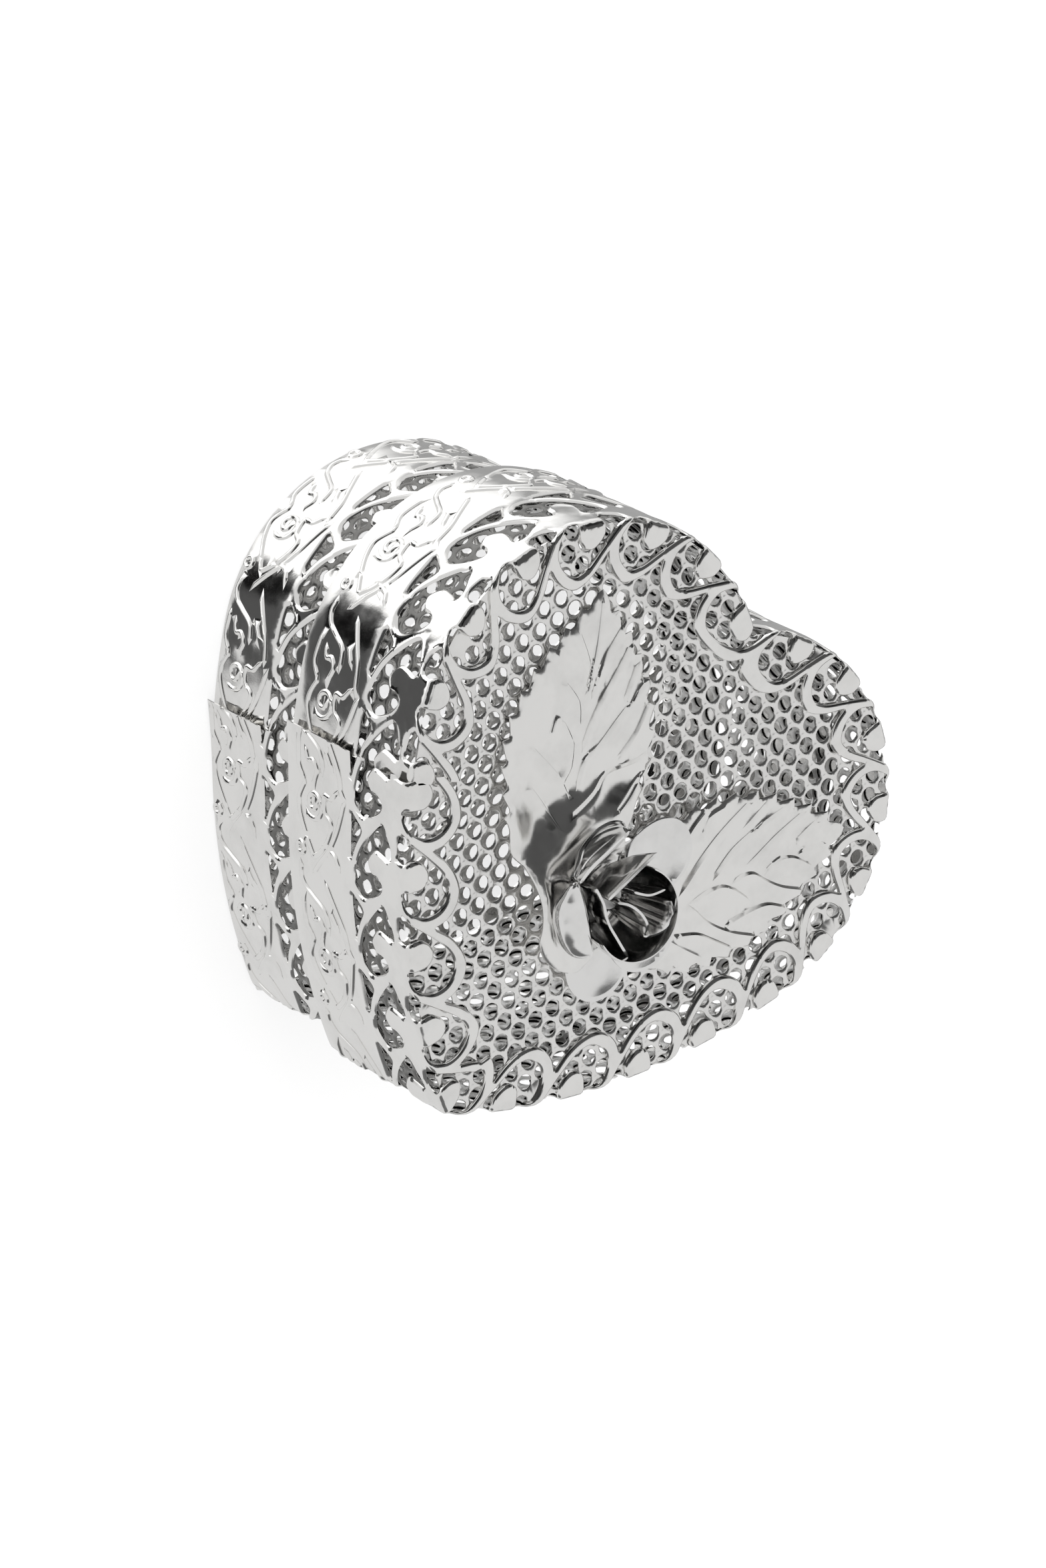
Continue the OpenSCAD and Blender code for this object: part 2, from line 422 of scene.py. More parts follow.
TRIANGLE_STEP = 0.4
RIB_STEP = 0.33
RIB_HALF = 0.32  # half the width of a raised line
RIB_CREST = 0.12  # and of its flat top
RIB_H = 0.23
EDGE_DROP = 0.22  # how far an edge is rounded down, and over what width
EDGE_RUN = 0.3
RIM_DROP = 0.14  # the same for the band's straight rim
RIM_RUN = 0.35
BEAD_H = 0.06  # low bead beside an edge: height, place and half width
BEAD_AT = 0.36
BEAD_HALF = 0.15
EDGE_ROWS = (0.12, 0.34, 0.6)  # rows of points on both sides of an edge
RIB_ROWS = (0, 0.17, -0.17, RIB_HALF, -RIB_HALF)
RIB_GAP = 0.3  # least distance from edges of the points along raised lines
CLEAR = 0.62  # least distance of the loose points from edges and raised lines
REACH = 1.5  # how far past a piece of lace outlines still matter to it
SEAM_GAP = 0.12  # points keep this far from the ends of a piece
FACE_END = -9.6  # beyond the scalloped edge, across the band
FOLD_R = 0.9
FOLD_FROM = 1.4  # from the spine up to the fold
CORNER_DOWN = FOLD_FROM + FOLD_R  # from the spine up to the level of the lid's top
SPINE_Z = LID_TOP - CORNER_DOWN
BASE_SPINE_Z = 17.5
LAP = 0.7  # how far the band's end laps over its beginning
LAP_RUN = 9  # over what run it rises there, and how far
LAP_LIFT = 0.9
PLAIN_DEPTH = 0.28  # plain sheet under the CAD surface, with room for raised lines
FACE_LIFT = 0.25  # how much less of this there is on the lid's face


def moved(points, along, face=False):
    """Outline moved along the band, and turned over for the lid's face."""
    p = np.array(points, float)
    return np.c_[p[:, 0] + along, -p[:, 1] if face else p[:, 1]]


def lace_lines(first_tab, span):
    """Openings, scalloped edge and raised lines of a length of band."""
    def matters(curve):
        return curve[:, 0].max() > -REACH and curve[:, 0].min() < span + REACH

    tabs = [first_tab + k * PITCH for k in range(-2, int(span / PITCH) + 3)]
    openings, ribs = [], []
    for at in tabs:
        openings.append(smooth_curve(moved(WALL_OPENING, at), True, OUTLINE_STEP))
        openings.append(smooth_curve(moved(TRIANGLE, at), True, TRIANGLE_STEP))
        openings.append(smooth_curve(moved(FACE_OPENING, at, True), True, OUTLINE_STEP))
    scallop = np.vstack([smooth_curve(moved(SCALLOP, at, True), False, OUTLINE_STEP)[:-1] for at in tabs])
    scallop = scallop[(scallop[:, 0] > -2 * REACH) & (scallop[:, 0] < span + 2 * REACH)]
    for k in (-1, 0, 1):
        at = first_tab + k * 2 * PITCH
        ribs += [smooth_curve(moved(line, at), False, RIB_STEP) for line in SCROLLS]
        for curl in (SWIRL, RING):
            ribs.append(spiral(**{**curl, "centre": np.add(curl["centre"], (at, 0))}))
    return [c for c in openings if matters(c)], scallop, [c for c in ribs if matters(c)]


def lace_points(span, rim, edges, ribs):
    """Points of the lace beside its edges, along its raised lines, and loose ones between these."""
    groups = [(shifted(curve, side, closed), 0.92 * d, 0.0)
              for d in EDGE_ROWS for curve, closed in edges for side in (d, -d)]
    loose = [(x, y) for i, y in enumerate(np.arange(FACE_END, rim, 1.05))
             for x in np.arange((i % 2) * 0.55, span, 1.1)]
    loose += [(x, y) for i, y in enumerate(np.arange(-CORNER_DOWN - 1.4, -FOLD_FROM + 0.4, 0.4))
              for x in np.arange((i % 2) * 0.45, span, 0.9)]
    groups.append((np.array(loose), CLEAR, CLEAR))
    groups += [(shifted(curve, d, False), RIB_GAP, 0.0) for curve, _ in ribs for d in RIB_ROWS]
    kept = []
    for group, edge_gap, rib_gap in groups:
        x, y = group.T
        group = group[(x > SEAM_GAP) & (x < span - SEAM_GAP) & (y < rim - 0.15) & (y > FACE_END)]
        group = group[edge_distance(group, edges) >= edge_gap]
        kept.append(group[edge_distance(group, ribs) >= rib_gap])
    return np.vstack(kept)


def lace_rise(flat, rim, edges, ribs):
    """How far the lace stands over its plain sheet: raised lines, rounded edges, and a bead beside them."""
    from_edge = edge_distance(flat, edges)
    from_rib = edge_distance(flat, ribs)
    rise = RIB_H * np.clip((RIB_HALF - from_rib) / (RIB_HALF - RIB_CREST), 0, 1)
    rise -= EDGE_DROP * np.clip(1 - from_edge / EDGE_RUN, 0, 1) ** 2
    on_wall = np.clip(flat[:, 1] + FOLD_FROM, 0, 1)
    rise += BEAD_H * on_wall * np.exp(-((from_edge - BEAD_AT) / BEAD_HALF) ** 2)
    rise -= RIM_DROP * np.clip(1 - (rim - flat[:, 1]) / RIM_RUN, 0, 1) ** 2
    return rise


def lace_unit(first_tab, span, rim):
    """Flat piece of lace of a given length: points (along, across), rise of its top, faces."""
    openings, scallop, ribs = lace_lines(first_tab, span)
    edges = [(c, True) for c in openings] + [(scallop, False)]
    ribs = [(c, False) for c in ribs]
    rim_count = int((span + 4) / 0.7)
    rim_line = np.c_[np.linspace(-2, span + 2, rim_count), np.full(rim_count, rim)]
    rows = np.arange(FACE_END - 0.9, rim + 0.3, 0.5)
    ends = [(np.c_[np.full(len(rows), x), rows], False) for x in (0.0, span)]
    cover = np.vstack([scallop, [(span + 2 * REACH, rim + 1), (-2 * REACH, rim + 1)]])

    def keep(middle):
        x, y = middle.T
        stays = (x > 0) & (x < span) & (y < rim) & inside(middle, cover)
        for opening in openings:
            stays &= ~inside(middle, opening)
        return stays

    flat, faces = triangulate(edges + ends + [(rim_line, False)], lace_points(span, rim, edges, ribs), keep)
    return flat, lace_rise(flat, rim, edges, ribs), turned_up(flat, faces)


def end_points(flat, at):
    """The points on one end of a flat piece, in order across it."""
    ids = np.where(np.abs(flat[:, 0] - at) < 1e-3)[0]
    return ids[np.argsort(flat[ids, 1])]


def lace_strip(first_tab, length, rim):
    """Whole flat band from repeats: points, rise, faces."""
    span = 2 * PITCH
    flat, rise, faces = lace_unit(first_tab, span, rim)
    left, right = end_points(flat, 0), end_points(flat, span)
    flat[right, 1], rise[right] = flat[left, 1], rise[left]
    all_points, all_rise, all_faces = [flat], [rise], [faces]
    count, last_ids = len(flat), right
    whole = int(length // span)
    tail = lace_unit(first_tab, length - whole * span, rim)
    for k in range(1, whole + 1):
        p, r, f = (flat, rise, faces) if k < whole else tail
        start = left if k < whole else end_points(p, 0)
        if len(start) != len(last_ids):
            raise RuntimeError("the lace repeats don't meet")
        renumber = np.full(len(p), -1)
        renumber[start] = last_ids
        fresh = np.where(renumber < 0)[0]
        renumber[fresh] = count + np.arange(len(fresh))
        all_points.append(p[fresh] + [k * span, 0])
        all_rise.append(r[fresh])
        all_faces.append(renumber[f])
        count += len(fresh)
        last_ids = renumber[right] if k < whole else None
    return np.vstack(all_points), np.concatenate(all_rise), np.vstack(all_faces)


def on_lid(s, across, depth):
    """Place on the lid's band: down the wall, over the fold or on the face, at a depth."""
    turn = np.clip((-across - FOLD_FROM) / (2 * FOLD_R), 0, 1) * math.pi / 2
    beyond = np.maximum(-across - FOLD_FROM - 2 * FOLD_R, 0)
    inset = FOLD_R - (FOLD_R - depth) * np.cos(turn) + beyond
    z = LID_TOP - FOLD_R + (FOLD_R - depth) * np.sin(turn) - np.maximum(across + FOLD_FROM, 0)
    share = np.sin(turn)[:, None] ** 2
    inward = -OUTER.normal(s) * (1 - share) + OUTER.look_up(FACE_IN, s) * share
    return np.c_[OUTER.at(s) + inward * inset[:, None], z]


BASE_PATH = HeartPath(BASE_BAND_IN)


def on_base(s, across, depth):
    """Place on the base's band, at a depth under its surface."""
    t = s * BASE_PATH.length / PERIMETER
    return np.c_[BASE_PATH.at(t) - BASE_PATH.normal(t) * depth[:, None], BASE_SPINE_Z - across]


def lace_piece(name, seam, first_tab, rim, place, face_lift):
    """A closed lace band whose end laps over its beginning, at the seam's distance along the outline."""
    length = PERIMETER + LAP
    flat, rise, faces = lace_strip(first_tab, length, rim)
    s = seam + flat[:, 0]
    on_face = np.clip((-flat[:, 1] - FOLD_FROM) / (2 * FOLD_R), 0, 1) * face_lift
    plain = PLAIN_DEPTH - FACE_LIFT * on_face
    lift = LAP_LIFT * np.clip((flat[:, 0] - length + LAP_RUN) / LAP_RUN, 0, 1) ** 2 * (1 - on_face)
    top = place(s, flat[:, 1], plain - rise - lift)
    bottom = place(s, flat[:, 1], np.full(len(s), SHEET - 0.01) - lift)
    return add_piece(name, np.vstack([top, bottom]), sheet_faces(faces, len(flat)), lace_metal, 38)


LID_SEAM = 38.1
BASE_SEAM = 35.4
lid_lace = lace_piece("lid_lace", LID_SEAM, 0.7, SPINE_Z - LID_EDGE, on_lid, 1)
finish_piece(lid_lace, "lid", "lace_band", "lid_lace_band")
base_lace = lace_piece("base_lace", BASE_SEAM, 1.3, BASE_SPINE_Z - base_band_low[2], on_base, 0)
finish_piece(base_lace, "base", "lace_band", "base_lace_band")

# ---- punched sheets
HOLE_PITCH = 2.3
HOLE_ROW = HOLE_PITCH * math.sqrt(3) / 2
HOLE_R = 0.86
HOLE_ROUND = 0.13  # width of a hole's rounded rim, and how far it drops
HOLE_DROP = 0.1
PLATE_HOLES_OUT = 0.55  # how far outside a sheet the middle of a hole may lie
WALL_HOLES_OUT = 0.6
TOUCHING = 0.04  # a hole that touches a plate's outline this closely is left out
WALL_COLUMNS = round(PERIMETER / HOLE_PITCH) - 2
WALL_THICK = 0.27
WALL_SIDES = 14  # corners of a hole in the walls
WALL_SHIFT = 0.4  # how far the walls' rows of holes are moved up


def hole_grid(low, high):
    """Middles of holes in staggered rows over a rectangle."""
    out = []
    for j in range(int(math.floor(low[1] / HOLE_ROW)) - 1, int(math.ceil(high[1] / HOLE_ROW)) + 2):
        for i in range(int(math.floor(low[0] / HOLE_PITCH)) - 1, int(math.ceil(high[0] / HOLE_PITCH)) + 2):
            out.append(((i + (j % 2) / 2) * HOLE_PITCH, j * HOLE_ROW))
    return np.array(out)


def hole_ring(centre, r, sides):
    """Points round a hole."""
    a = (np.arange(sides) + 0.5) * 2 * math.pi / sides
    return np.array(centre) + r * np.c_[np.cos(a), np.sin(a)]


def nearest(points, centres):
    """Distance from each point to the nearest centre."""
    best = np.full(len(points), 1e9)
    for first in range(0, len(points), BATCH):
        p = points[first:first + BATCH, None, :]
        best[first:first + BATCH] = np.sqrt(((p - centres) ** 2).sum(2)).min(1)
    return best


def punched_flat(border, centres, sides, keep_border):
    """Flat punched sheet: points, how far each lies under the surface at the holes' rounded rims, faces."""
    rings = [(hole_ring(c, HOLE_R, sides), True) for c in centres]
    soft = np.vstack([hole_ring(c, HOLE_R + HOLE_ROUND, sides) for c in centres])

    def keep(middle):
        return (nearest(middle, centres) > HOLE_R * math.cos(math.pi / sides) - 1e-3) & keep_border(middle)

    flat, faces = triangulate(rings + border, soft, keep)
    faces = turned_up(flat, faces)
    sink = np.where(nearest(flat, centres) < HOLE_R + HOLE_ROUND / 2, HOLE_DROP, 0.0)
    return flat, sink, faces


def punched_plate(name, inset, low_z, high_z, sides):
    """Flat heart of punched sheet."""
    outline = HeartPath(inset, corner=0.35, step=0.7).points
    centres = hole_grid(outline.min(0) - 1, outline.max(0) + 1)
    gap = edge_distance(centres, [(outline, True)])
    holes = inside(centres, outline) | (gap < PLATE_HOLES_OUT)
    centres = centres[holes & (abs(gap - HOLE_R) > TOUCHING)]
    flat, sink, faces = punched_flat([(outline, True)], centres, sides,
                                     lambda middle: inside(middle, outline))
    top = np.c_[flat, high_z - sink]
    bottom = np.c_[flat, low_z + sink]
    return add_piece(name, np.vstack([top, bottom]), sheet_faces(faces, len(flat)), punched_metal, 45)


def punched_wall(name, inset, low_z, high_z):
    """Punched sheet bent round the heart and closed on itself, with painted shade on its outside (a nearly
    black copy of the metal) and painted light on its inside (a brighter copy).
    """
    outer = HeartPath(inset + 0.02, corner=0.4)
    length = WALL_COLUMNS * HOLE_PITCH
    centres = hole_grid((-4, low_z - WALL_SHIFT), (length + 4, high_z - WALL_SHIFT)) + [0, WALL_SHIFT]
    x, z = centres.T
    near = (z > low_z - WALL_HOLES_OUT) & (z < high_z + WALL_HOLES_OUT) & (x > -3) & (x < length + 3)
    centres = centres[near]
    rows = np.r_[low_z, np.arange(low_z + 0.6, high_z - 0.3, 0.6), high_z]
    columns = np.arange(-HOLE_PITCH, length + HOLE_PITCH + 0.1, HOLE_PITCH / 2)
    border = [(np.c_[columns, np.full(len(columns), level)], False) for level in (low_z, high_z)]
    border += [(np.c_[np.full(len(rows), end), rows], False) for end in (0.0, length)]

    def keep(middle):
        x, z = middle.T
        return (x > 0) & (x < length) & (z > low_z) & (z < high_z)

    flat, sink, faces = punched_flat(border, centres, WALL_SIDES, keep)
    first, last = end_points(flat, 0), end_points(flat, length)
    if len(first) != len(last):
        raise RuntimeError("the wall's ends don't meet")
    renumber = np.arange(len(flat))
    renumber[last] = first
    kept, faces = packed(np.c_[flat, sink], renumber[faces][:, ::-1])
    s, level, sink = kept.T
    s = s * outer.length / length
    at, out = outer.at(s), outer.normal(s)
    top = np.c_[at - out * sink[:, None], level]
    bottom = np.c_[at - out * (WALL_THICK - sink)[:, None], level]
    wall = add_piece(name, np.vstack([top, bottom]), sheet_faces(faces, len(kept)), liner_painted_shade_metal, 45)
    wall.data.materials.append(inner_painted_light_metal)
    # Outside faces get the painted-shade copy; inside faces and hole rims get the painted-light copy.
    side = np.ones(len(wall.data.polygons), int)
    side[:len(faces)] = 0
    wall.data.polygons.foreach_set("material_index", side)
    return wall


# The lid's plate is thinner and smaller than in CAD, to stay clear of the lace's rounded fold
lid_sheet = punched_plate("lid_punched_plate", LID_PLATE_IN + 0.4, lid_plate_low[2] + 0.2,
                          lid_plate_high[2], 18)
finish_piece(lid_sheet, "lid", "perforated_sheet", "lid_plate")
base_sheet = punched_plate("base_punched_plate", BASE_PLATE_IN, base_plate_low[2], base_plate_high[2], 12)
finish_piece(base_sheet, "base", "perforated_sheet", "base_plate")
lid_wall = punched_wall("lid_punched_wall", LID_LINER_IN, lid_liner_low[2], lid_liner_high[2])
finish_piece(lid_wall, "lid", "perforated_sheet", "lid_liner")
base_wall = punched_wall("base_punched_wall", BASE_LINER_IN, base_liner_low[2], base_liner_high[2])
finish_piece(base_wall, "base", "perforated_sheet", "base_liner")

# ---- leaves: outline, teeth and pressed veins
# The foot is smooth. The first and second sides run from it to the tip and have this many teeth.
# A vein is its strength, and its line from one end to the other.
LEAF_LEFT = dict(
    foot=[(-14.2, -4.6), (-12.6, -6.0), (-10.7, -6.3), (-8.9, -7.1), (-6.8, -8.5), (-5.2, -10.2),
          (-4.1, -11.8), (-2.2, -12.8), (.1, -12.8), (2.4, -11.4), (3.9, -8.0), (4.3, -4.5), (2.6, -1.2),
          (0, .9), (-1.9, 2.6), (-2.5, 5.0)],
    first=[(-2.5, 5.0), (-2.8, 8.0), (-3.9, 11.2), (-6.2, 14.2), (-9.6, 16.8), (-13.6, 18.8), (-17.2, 19.9),
           (-20.7, 21.2)],
    second=[(-14.2, -4.6), (-17.6, -1.3), (-20.0, 1.8), (-21.6, 5.8), (-22.1, 9.6), (-21.9, 13.6),
            (-21.2, 17.6), (-20.7, 21.2)],
    teeth=(9, 11),
    outward=-1,
    veins=[
        (1.0, [(-16.0, 19.0), (-15.7, 15.2), (-14.8, 12.1)]),
        (1.0, [(-13.8, 18.1), (-13.4, 15.0), (-13.0, 10.8), (-12.1, 7.6)]),
        (1.0, [(-11.6, 17.1), (-10.6, 13.8)]),
        (1.0, [(-9.4, 16.4), (-9.9, 11.8), (-10.2, 8.2), (-10.8, 6.3), (-9.9, 4.0)]),
        (0.9, [(-7.6, 14.6), (-7.0, 11.7), (-7.1, 8.8)]),
        (1.0, [(-4.0, 11.2), (-5.1, 9.3), (-7.4, 6.7), (-7.8, 4.2), (-8.9, 1.2)]),
        (0.8, [(-3.3, 9.0), (-4.0, 6.4), (-4.7, 4.2)]),
        (0.45, [(-13.8, 9.2), (-15.4, 10.8), (-18.0, 11.5)]),
        (0.45, [(-13.4, 7.3), (-15.6, 8.2), (-17.0, 8.1), (-16.4, 6.3)]),
        (0.5, [(-10.1, 2.6), (-12.6, 3.6), (-16.9, 4.2)]),
        (0.4, [(-15.8, 12.6), (-17.0, 14.6), (-20.0, 16.3)]),
        (0.5, [(-11.3, 3.4), (-11.5, 4.9), (-12.9, 7.0)]),
        (0.5, [(-20.1, 20.0), (-17.7, 16.4), (-15.3, 12.0)]),
        (0.5, [(-9.5, -.8), (-11.8, .2), (-14.6, .9)]),
    ],
)
LEAF_RIGHT = dict(
    foot=[(12.6, -6.7), (9.4, -8.0), (6.0, -8.2), (2.2, -7.6), (-.9, -6.4), (-2.2, -3.6), (-.9, -.6),
          (1.6, 2.0), (3.6, 5.2)],
    first=[(3.6, 5.2), (5.2, 8.3), (7.3, 11.0), (10.1, 13.3), (13.4, 15.0), (17.4, 16.3), (21.2, 17.1),
           (24.9, 17.4)],
    second=[(12.6, -6.7), (16.0, -5.0), (19.0, -2.4), (21.7, 1.1), (23.5, 5.4), (24.4, 9.8), (24.9, 13.8),
            (24.9, 17.4)],
    teeth=(10, 11),
    outward=1,
    veins=[
        (1.0, [(11.2, 13.1), (10.2, 9.0), (9.8, 5.4), (9.8, 2.1)]),
        (0.9, [(13.4, 14.2), (12.9, 11.6)]),
        (1.0, [(15.9, 15.1), (14.1, 11.6), (12.9, 8.3), (12.7, 5.3)]),
        (1.0, [(18.4, 15.7), (17.1, 12.3), (16.2, 9.0)]),
        (0.9, [(20.7, 16.0), (19.9, 13.4)]),
        (0.8, [(23.2, 14.8), (21.3, 12.8)]),
        (0.9, [(23.1, 12.2), (20.7, 11.7), (19.2, 10.6), (18.6, 9.1)]),
        (1.0, [(24.0, 9.5), (21.6, 8.5), (19.2, 8.0), (17.2, 7.8), (16.1, 7.0), (15.6, 6.1)]),
        (1.0, [(18.3, 5.3), (16.2, 5.2), (14.4, 4.7), (13.1, 3.4), (12.2, 1.7)]),
        (1.0, [(23.6, 7.0), (21.2, 6.1), (19.6, 4.5), (18.0, 2.2)]),
        (1.0, [(21.9, 2.6), (18.8, 1.4), (15.6, .8), (12.7, 1.0)]),
        (0.9, [(20.0, 0.1), (17.2, -.4), (15.0, -.9), (13.0, -2.1)]),
        (0.6, [(16.8, -2.6), (14.8, -2.9), (13.0, -3.1)]),
        (0.6, [(6.6, 9.4), (6.4, 7.6), (6.5, 5.8)]),
        (0.5, [(8.5, 11.4), (7.4, 9.4), (8.0, 7.6)]),
    ],
)
VEIN_H = 0.38
VEIN_STEP = 0.22  # width of a vein's steep side, and of its gentle one
VEIN_RUN = 1.5
VEIN_END = 0.9  # run over which a vein fades past its ends
VEIN_ROWS = (0, 0.09, VEIN_STEP, 0.4, 0.8, -0.25)
VEIN_CLEAR = 0.55  # least distance from a vein of the loose points
TOOTH_BACK = 0.86  # share of a tooth that rises; the rest drops back
TOOTH_MIDDLE = 0.45
TOOTH_FIRST = 0.8  # the first and last tooth are smaller over this share
TOOTH_STEP = 0.4
FOIL_DROP = 0.1  # how far a foil's edge is rounded, and over what width
FOIL_RUN = 0.2
FOIL_SHARP = 50  # degrees between faces from which an edge looks sharp


def toothed(points, teeth, outward):
    """Leaf edge from its foot to its tip with saw teeth that point to the tip."""
    curve = smooth_curve(points, step=0.12)
    run = np.r_[0, np.cumsum(np.hypot(*np.diff(curve, axis=0).T))]
    phase = run / run[-1] * teeth
    bite = phase - np.floor(phase)
    size = np.minimum(1, np.minimum(phase, teeth - phase) / TOOTH_FIRST)
    profile = np.where(bite < TOOTH_BACK, bite / TOOTH_BACK, (1 - bite) / (1 - TOOTH_BACK)) - TOOTH_MIDDLE
    edge = curve + (shifted(curve, outward, False) - curve) * (size * profile)[:, None]
    keep = [0]
    for i in range(1, len(edge) - 1):
        corner = (bite[i] < TOOTH_BACK <= bite[i + 1]) or bite[i + 1] < bite[i]
        if corner or run[i] - run[keep[-1]] > TOOTH_STEP:
            keep.append(i)
    return edge[keep + [len(edge) - 1]]


def vein_field(points, line):
    """Distance to the left of a line, negative to its right, and how far past its ends, for each point."""
    a, b = line[:-1], line[1:]
    d = b - a
    long = (d ** 2).sum(1)
    raw = ((points[:, None, :] - a) * d).sum(2) / long
    t = np.clip(raw, 0, 1)
    gap = points[:, None, :] - (a + t[..., None] * d)
    dist = np.sqrt((gap ** 2).sum(2))
    best = dist.argmin(1)
    row = np.arange(len(points))
    side = d[best, 0] * gap[row, best, 1] - d[best, 1] * gap[row, best, 0]
    before = np.where(best == 0, -raw[row, best], 0)
    after = np.where(best == len(a) - 1, raw[row, best] - 1, 0)
    past = np.maximum(np.maximum(before, after), 0) * np.sqrt(long[best])
    return np.where(side >= 0, dist[row, best], -dist[row, best]), past


def soft_step(x):
    """Smooth rise from 0 to 1."""
    x = np.clip(x, 0, 1)
    return x * x * (3 - 2 * x)


def vein_rise(points, leaf):
    """How far the pressed veins lift the leaf: steep on one side, falling away gently on the other."""
    rise = np.zeros(len(points))
    for size, line in leaf["veins"]:
        side, past = vein_field(points, smooth_curve(line, step=0.5))
        one = soft_step(side / VEIN_STEP) * (1 - soft_step((side - VEIN_STEP) / VEIN_RUN))
        rise = np.maximum(rise, VEIN_H * size * one * (1 - soft_step(past / VEIN_END)))
    return rise


def foil_sheet(name, loop, extra, height, material):
    """Piece of foil over a flat outline: height gives the level of its top at flat places."""
    edge = [(loop, True)]
    extra = np.vstack([extra] + [shifted(loop, side, True) for side in (0.14, -0.14)])
    extra = extra[inside(extra, loop)]
    extra = extra[edge_distance(extra, edge) > 0.12]
    flat, faces = triangulate(edge, extra, lambda middle: inside(middle, loop))
    faces = turned_up(flat, faces)
    top = height(flat)
    rounded = FOIL_DROP * np.clip(1 - edge_distance(flat, edge) / FOIL_RUN, 0, 1) ** 2
    points = np.vstack([np.c_[flat, top - rounded], np.c_[flat, top - FOIL + rounded]])
    return add_piece(name, points, sheet_faces(faces, len(flat)), material, FOIL_SHARP)


def leaf_piece(name, leaf, height):
    """One pressed leaf."""
    first = toothed(leaf["first"], leaf["teeth"][0], leaf["outward"])
    second = toothed(leaf["second"], leaf["teeth"][1], -leaf["outward"])[::-1]
    foot = smooth_curve(leaf["foot"], step=0.4)
    loop = np.vstack([foot[:-1], first[:-1], second[:-1]])
    low, high = loop.min(0), loop.max(0)
    grid = np.array([(x, y) for i, y in enumerate(np.arange(low[1], high[1], 0.7))
                     for x in np.arange(low[0] + (i % 2) * 0.4, high[0], 0.8)])
    veins = []
    for _, line in leaf["veins"]:
        curve = smooth_curve(line, step=0.35)
        grid = grid[edge_distance(grid, [(curve, False)]) > VEIN_CLEAR]
        veins += [shifted(curve, d, False) for d in VEIN_ROWS]
    return foil_sheet(name, loop, np.vstack([grid] + veins), lambda p: height(p) + vein_rise(p, leaf),
                      leaf_metal)


def from_rose(points):
    """Distance of each point from the rose's axis."""
    return np.hypot(*(points - ROSE).T)


LEAF_LEFT_TOP = cad_box("leaf_left")[1][2]
LEAF_RIGHT_TOP = cad_box("leaf_right")[1][2]
FOOT_LIFT = 1.7  # how far the left leaf steps up beside the rose
FOOT_CURL = 0.9  # and how far the corner of its foot curls up


def left_leaf_height(p):
    """The blade lies just over the lid and its foot steps up beside the rose."""
    near = from_rose(p)
    lifted = FOOT_LIFT * soft_step((13.2 - near) / 5.0) * soft_step((near - 3.5) / 2.5)
    corner = -7.9 - 0.55 * p[:, 0] - p[:, 1]
    curl = FOOT_CURL * soft_step(corner / 4.0) * soft_step((near - 5) / 3)
    return LEAF_LEFT_TOP + 0.35 + lifted + curl


def right_leaf_height(p):
    """Nearly flat, and a little higher away from the rose."""
    near = from_rose(p)
    return LEAF_RIGHT_TOP + 0.3 * soft_step((near - 6) / 6)


leaf_left = leaf_piece("leaf_left_pressed", LEAF_LEFT, left_leaf_height)
finish_piece(leaf_left, "lid", "leaf_foil", "leaf_left")
leaf_right = leaf_piece("leaf_right_pressed", LEAF_RIGHT, right_leaf_height)
finish_piece(leaf_right, "lid", "leaf_foil", "leaf_right")

# ---- rose
OUTER_Z = petals_low[2]
PETAL_R = 4.3  # radius of the flat petals, and how far their middles are from the axis
PETAL_OUT = 7.4
PETAL_LIFT = 0.55  # their level at the middle, and how much higher their edges are
PETAL_DISH = 0.5
CUP = ROSE + (-0.2, -0.4)  # axis of the upright petals
ROLL_DEG = 220  # how far a raised petal's rim is rolled over
THIN_EDGE = 0.45  # thickness of a petal at its edges, as a share of the rest


def shell_points(grid, thick):
    """Closed shell, as points and faces, on both sides of a curved sheet given as a grid of points."""
    rows, cols = grid.shape[:2]
    along = np.gradient(grid, axis=0)
    across = np.gradient(grid, axis=1)
    normal = np.cross(along, across)
    normal /= np.maximum(np.linalg.norm(normal, axis=2), 1e-9)[..., None]
    half = np.full((rows, cols), thick / 2)
    for line in (half[0], half[-1], half[:, 0], half[:, -1]):
        line *= THIN_EDGE
    points = np.vstack([(grid + normal * half[..., None]).reshape(-1, 3),
                        (grid - normal * half[..., None]).reshape(-1, 3)])
    ids = np.arange(rows * cols).reshape(rows, cols)
    quads = np.stack([ids[:-1, :-1], ids[1:, :-1], ids[1:, 1:], ids[:-1, 1:]], -1).reshape(-1, 4)
    return points, sheet_faces(quads, rows * cols)


def joined(name, *parts):
    """One piece of the rose from several closed shells."""
    points, faces, count = [], [], 0
    for p, f in parts:
        points.append(p)
        faces += [[i + count for i in face] for face in f]
        count += len(p)
    return add_piece(name, np.vstack(points), faces, rose_metal, FOIL_SHARP)


